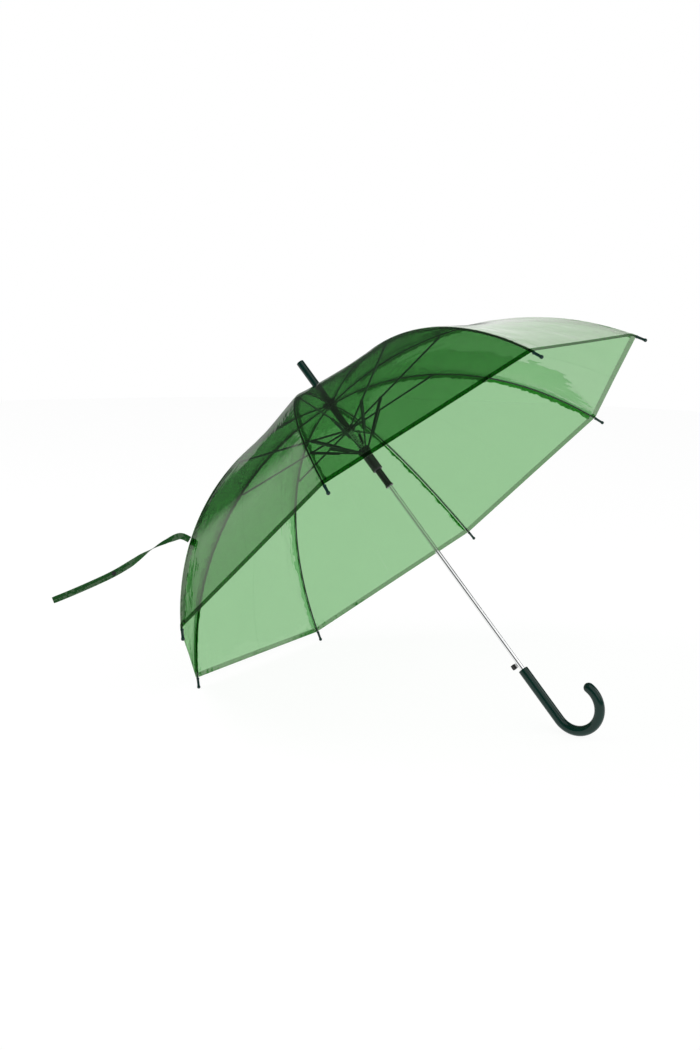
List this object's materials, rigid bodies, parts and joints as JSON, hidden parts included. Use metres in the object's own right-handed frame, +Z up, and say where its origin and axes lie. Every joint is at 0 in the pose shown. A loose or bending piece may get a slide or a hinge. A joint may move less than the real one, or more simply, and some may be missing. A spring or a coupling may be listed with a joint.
{
  "type": "umbrella",
  "caption": "Open stick umbrella with a see-through tinted film canopy, steel ribs, a push-button shaft and a curved hook handle.",
  "frame": {"origin": "centre of the bounding box on the floor that two rib tips and the bend of the hook stand on; the umbrella's own plane of symmetry is parallel to XZ, 0.0335 m towards +Y, because the tie strap sticks out on the -Y side", "axes": "+Z up; +X level, from the canopy towards the handle, so the shaft rises towards -X at 45.65 degrees to the floor; +Y across, completing a right-handed frame"},
  "size_m": [0.7342, 0.9942, 0.6782],
  "materials": {
    "chrome_steel": "polished plated tube",
    "black_enamelled_steel": "satin dark enamel",
    "black_glass_fibre": "satin black glass-fibre rod",
    "spring_steel": "bright drawn wire",
    "black_plastic": "moulded, slightly glossy",
    "bottle_green_plastic": "moulded, glossy dark bottle green",
    "green_film": "clear tinted flexible film"
  },
  "bodies": {
    "shaft": {"shaft": "chrome_steel", "ferrule": "bottle_green_plastic", "crown_cap": "bottle_green_plastic", "top_notch": "black_plastic", "notch_wire": "spring_steel", "handle": "bottle_green_plastic"},
    "push_button": {"push_button": "black_plastic", "catch_spring": "spring_steel"},
    "upper_runner": {"upper_runner": "black_plastic", "upper_runner_wire": "spring_steel", "main_spring": "spring_steel"},
    "lower_runner": {"lower_runner": "black_plastic", "lower_runner_wire": "spring_steel"},
    "rib_1": {"rib_1": "black_glass_fibre", "rib_tip_1": "bottle_green_plastic", "canopy_petal_1": "green_film"},
    "stretcher_1": {"stretcher_1": "black_enamelled_steel"},
    "strut_1": {"strut_1": "black_enamelled_steel"},
    "rib_2": {"rib_2": "black_glass_fibre", "rib_tip_2": "bottle_green_plastic", "canopy_petal_2": "green_film"},
    "stretcher_2": {"stretcher_2": "black_enamelled_steel"},
    "strut_2": {"strut_2": "black_enamelled_steel"},
    "rib_3": {"rib_3": "black_glass_fibre", "rib_tip_3": "bottle_green_plastic", "canopy_petal_3": "green_film"},
    "stretcher_3": {"stretcher_3": "black_enamelled_steel"},
    "strut_3": {"strut_3": "black_enamelled_steel"},
    "rib_4": {"rib_4": "black_glass_fibre", "rib_tip_4": "bottle_green_plastic", "canopy_petal_4": "green_film"},
    "stretcher_4": {"stretcher_4": "black_enamelled_steel"},
    "strut_4": {"strut_4": "black_enamelled_steel"},
    "rib_5": {"rib_5": "black_glass_fibre", "rib_tip_5": "bottle_green_plastic", "canopy_petal_5": "green_film"},
    "stretcher_5": {"stretcher_5": "black_enamelled_steel"},
    "strut_5": {"strut_5": "black_enamelled_steel"},
    "rib_6": {"rib_6": "black_glass_fibre", "rib_tip_6": "bottle_green_plastic", "canopy_petal_6": "green_film", "tie_strap": "green_film", "strap_stud": "black_plastic"},
    "stretcher_6": {"stretcher_6": "black_enamelled_steel"},
    "strut_6": {"strut_6": "black_enamelled_steel"},
    "rib_7": {"rib_7": "black_glass_fibre", "rib_tip_7": "bottle_green_plastic", "canopy_petal_7": "green_film"},
    "stretcher_7": {"stretcher_7": "black_enamelled_steel"},
    "strut_7": {"strut_7": "black_enamelled_steel"},
    "rib_8": {"rib_8": "black_glass_fibre", "rib_tip_8": "bottle_green_plastic", "canopy_petal_8": "green_film"},
    "stretcher_8": {"stretcher_8": "black_enamelled_steel"},
    "strut_8": {"strut_8": "black_enamelled_steel"}
  },
  "joints": [
    {"name": "rib_1_at_notch", "type": "hinge", "parent": "shaft", "child": "rib_1", "pos_m": [-0.18611, 0.03671, 0.5159], "axis": [-0.2736, 0.9239, -0.2675], "range_deg": [0, 61.5], "stiffness_Nm_per_rad": 0.8, "springref_deg": -57.3, "deforming": ["canopy_petal_1"]},
    {"name": "rib_2_at_notch", "type": "hinge", "parent": "shaft", "child": "rib_2", "pos_m": [-0.1894, 0.04131, 0.51269], "axis": [-0.6606, 0.3827, -0.6459], "range_deg": [0, 62], "deforming": ["canopy_petal_2"]},
    {"name": "rib_3_at_notch", "type": "hinge", "parent": "shaft", "child": "rib_3", "pos_m": [-0.19405, 0.04131, 0.50814], "axis": [-0.6606, -0.3827, -0.6459], "range_deg": [0, 62], "deforming": ["canopy_petal_3"]},
    {"name": "rib_4_at_notch", "type": "hinge", "parent": "shaft", "child": "rib_4", "pos_m": [-0.19734, 0.03671, 0.50492], "axis": [-0.2736, -0.9239, -0.2675], "range_deg": [0, 62], "deforming": ["canopy_petal_4"]},
    {"name": "rib_5_at_notch", "type": "hinge", "parent": "shaft", "child": "rib_5", "pos_m": [-0.19734, 0.0302, 0.50492], "axis": [0.2736, -0.9239, 0.2675], "range_deg": [0, 62], "deforming": ["canopy_petal_5"]},
    {"name": "rib_6_at_notch", "type": "hinge", "parent": "shaft", "child": "rib_6", "pos_m": [-0.19405, 0.0256, 0.50814], "axis": [0.6606, -0.3827, 0.6459], "range_deg": [0, 62], "deforming": ["canopy_petal_6"]},
    {"name": "rib_7_at_notch", "type": "hinge", "parent": "shaft", "child": "rib_7", "pos_m": [-0.1894, 0.0256, 0.51269], "axis": [0.6606, 0.3827, 0.6459], "range_deg": [0, 62], "deforming": ["canopy_petal_7"]},
    {"name": "rib_8_at_notch", "type": "hinge", "parent": "shaft", "child": "rib_8", "pos_m": [-0.18611, 0.0302, 0.5159], "axis": [0.2736, 0.9239, 0.2675], "range_deg": [0, 62], "deforming": ["canopy_petal_8"]},
    {"name": "stretcher_1_at_rib", "type": "hinge", "parent": "rib_1", "child": "stretcher_1", "pos_m": [-0.02255, 0.11994, 0.63605], "axis": [-0.2736, 0.9239, -0.2675], "range_deg": [-124, 0]},
    {"name": "stretcher_2_at_rib", "type": "hinge", "parent": "rib_2", "child": "stretcher_2", "pos_m": [-0.11001, 0.24225, 0.55054], "axis": [-0.6606, 0.3827, -0.6459], "range_deg": [-124, 0]},
    {"name": "stretcher_3_at_rib", "type": "hinge", "parent": "rib_3", "child": "stretcher_3", "pos_m": [-0.23369, 0.24225, 0.42962], "axis": [-0.6606, -0.3827, -0.6459], "range_deg": [-124, 0]},
    {"name": "stretcher_4_at_rib", "type": "hinge", "parent": "rib_4", "child": "stretcher_4", "pos_m": [-0.32114, 0.11994, 0.34412], "axis": [-0.2736, -0.9239, -0.2675], "range_deg": [-124, 0]},
    {"name": "stretcher_5_at_rib", "type": "hinge", "parent": "rib_5", "child": "stretcher_5", "pos_m": [-0.32114, -0.05303, 0.34412], "axis": [0.2736, -0.9239, 0.2675], "range_deg": [-124, 0]},
    {"name": "stretcher_6_at_rib", "type": "hinge", "parent": "rib_6", "child": "stretcher_6", "pos_m": [-0.23369, -0.17534, 0.42962], "axis": [0.6606, -0.3827, 0.6459], "range_deg": [-124, 0]},
    {"name": "stretcher_7_at_rib", "type": "hinge", "parent": "rib_7", "child": "stretcher_7", "pos_m": [-0.11001, -0.17534, 0.55054], "axis": [0.6606, 0.3827, 0.6459], "range_deg": [-124, 0]},
    {"name": "stretcher_8_at_rib", "type": "hinge", "parent": "rib_8", "child": "stretcher_8", "pos_m": [-0.02255, -0.05303, 0.63605], "axis": [0.2736, 0.9239, 0.2675], "range_deg": [-124, 0]},
    {"name": "upper_runner_at_stretcher_1", "type": "hinge", "parent": "stretcher_1", "child": "upper_runner", "pos_m": [-0.14636, 0.03671, 0.47524], "axis": [-0.2736, 0.9239, -0.2675], "range_deg": [0, 62]},
    {"name": "lower_runner_slide", "type": "slide", "parent": "upper_runner", "child": "lower_runner", "axis": [-0.6991, 0, 0.715], "range_m": [0, 0.0273], "deforming": ["main_spring"]},
    {"name": "strut_1_at_lower_runner", "type": "hinge", "parent": "lower_runner", "child": "strut_1", "pos_m": [-0.1127, 0.03671, 0.44083], "axis": [-0.2736, 0.9239, -0.2675], "range_deg": [-34.77, 0]},
    {"name": "strut_2_at_lower_runner", "type": "hinge", "parent": "lower_runner", "child": "strut_2", "pos_m": [-0.11599, 0.04131, 0.43761], "axis": [-0.6606, 0.3827, -0.6459], "range_deg": [-34.77, 0]},
    {"name": "strut_3_at_lower_runner", "type": "hinge", "parent": "lower_runner", "child": "strut_3", "pos_m": [-0.12065, 0.04131, 0.43306], "axis": [-0.6606, -0.3827, -0.6459], "range_deg": [-34.77, 0]},
    {"name": "strut_4_at_lower_runner", "type": "hinge", "parent": "lower_runner", "child": "strut_4", "pos_m": [-0.12393, 0.03671, 0.42985], "axis": [-0.2736, -0.9239, -0.2675], "range_deg": [-34.77, 0]},
    {"name": "strut_5_at_lower_runner", "type": "hinge", "parent": "lower_runner", "child": "strut_5", "pos_m": [-0.12393, 0.0302, 0.42985], "axis": [0.2736, -0.9239, 0.2675], "range_deg": [-34.77, 0]},
    {"name": "strut_6_at_lower_runner", "type": "hinge", "parent": "lower_runner", "child": "strut_6", "pos_m": [-0.12065, 0.0256, 0.43306], "axis": [0.6606, -0.3827, 0.6459], "range_deg": [-34.77, 0]},
    {"name": "strut_7_at_lower_runner", "type": "hinge", "parent": "lower_runner", "child": "strut_7", "pos_m": [-0.11599, 0.0256, 0.43761], "axis": [0.6606, 0.3827, 0.6459], "range_deg": [-34.77, 0]},
    {"name": "strut_8_at_lower_runner", "type": "hinge", "parent": "lower_runner", "child": "strut_8", "pos_m": [-0.1127, 0.0302, 0.44083], "axis": [0.2736, 0.9239, 0.2675], "range_deg": [-34.77, 0]},
    {"name": "push_button_press", "type": "slide", "parent": "shaft", "child": "push_button", "axis": [0.715, 0, 0.6991], "range_m": [0, 0.0022], "stiffness_N_per_m": 700, "springref_m": -0.0015}
  ],
  "couplings": [
    {"joint": "rib_2_at_notch", "follows": "rib_1_at_notch", "ratio": 1},
    {"joint": "rib_3_at_notch", "follows": "rib_1_at_notch", "ratio": 1},
    {"joint": "rib_4_at_notch", "follows": "rib_1_at_notch", "ratio": 1},
    {"joint": "rib_5_at_notch", "follows": "rib_1_at_notch", "ratio": 1},
    {"joint": "rib_6_at_notch", "follows": "rib_1_at_notch", "ratio": 1},
    {"joint": "rib_7_at_notch", "follows": "rib_1_at_notch", "ratio": 1},
    {"joint": "rib_8_at_notch", "follows": "rib_1_at_notch", "ratio": 1},
    {"joint": "stretcher_1_at_rib", "follows": "rib_1_at_notch", "ratio": -2},
    {"joint": "stretcher_2_at_rib", "follows": "rib_1_at_notch", "ratio": -2},
    {"joint": "stretcher_3_at_rib", "follows": "rib_1_at_notch", "ratio": -2},
    {"joint": "stretcher_4_at_rib", "follows": "rib_1_at_notch", "ratio": -2},
    {"joint": "stretcher_5_at_rib", "follows": "rib_1_at_notch", "ratio": -2},
    {"joint": "stretcher_6_at_rib", "follows": "rib_1_at_notch", "ratio": -2},
    {"joint": "stretcher_7_at_rib", "follows": "rib_1_at_notch", "ratio": -2},
    {"joint": "stretcher_8_at_rib", "follows": "rib_1_at_notch", "ratio": -2},
    {"joint": "upper_runner_at_stretcher_1", "follows": "rib_1_at_notch", "ratio": 1},
    {"joint": "lower_runner_slide", "follows": "rib_1_at_notch", "m_per_rad": 0.02525},
    {"joint": "strut_1_at_lower_runner", "follows": "rib_1_at_notch", "ratio": -0.55723},
    {"joint": "strut_2_at_lower_runner", "follows": "rib_1_at_notch", "ratio": -0.55723},
    {"joint": "strut_3_at_lower_runner", "follows": "rib_1_at_notch", "ratio": -0.55723},
    {"joint": "strut_4_at_lower_runner", "follows": "rib_1_at_notch", "ratio": -0.55723},
    {"joint": "strut_5_at_lower_runner", "follows": "rib_1_at_notch", "ratio": -0.55723},
    {"joint": "strut_6_at_lower_runner", "follows": "rib_1_at_notch", "ratio": -0.55723},
    {"joint": "strut_7_at_lower_runner", "follows": "rib_1_at_notch", "ratio": -0.55723},
    {"joint": "strut_8_at_lower_runner", "follows": "rib_1_at_notch", "ratio": -0.55723}
  ]
}
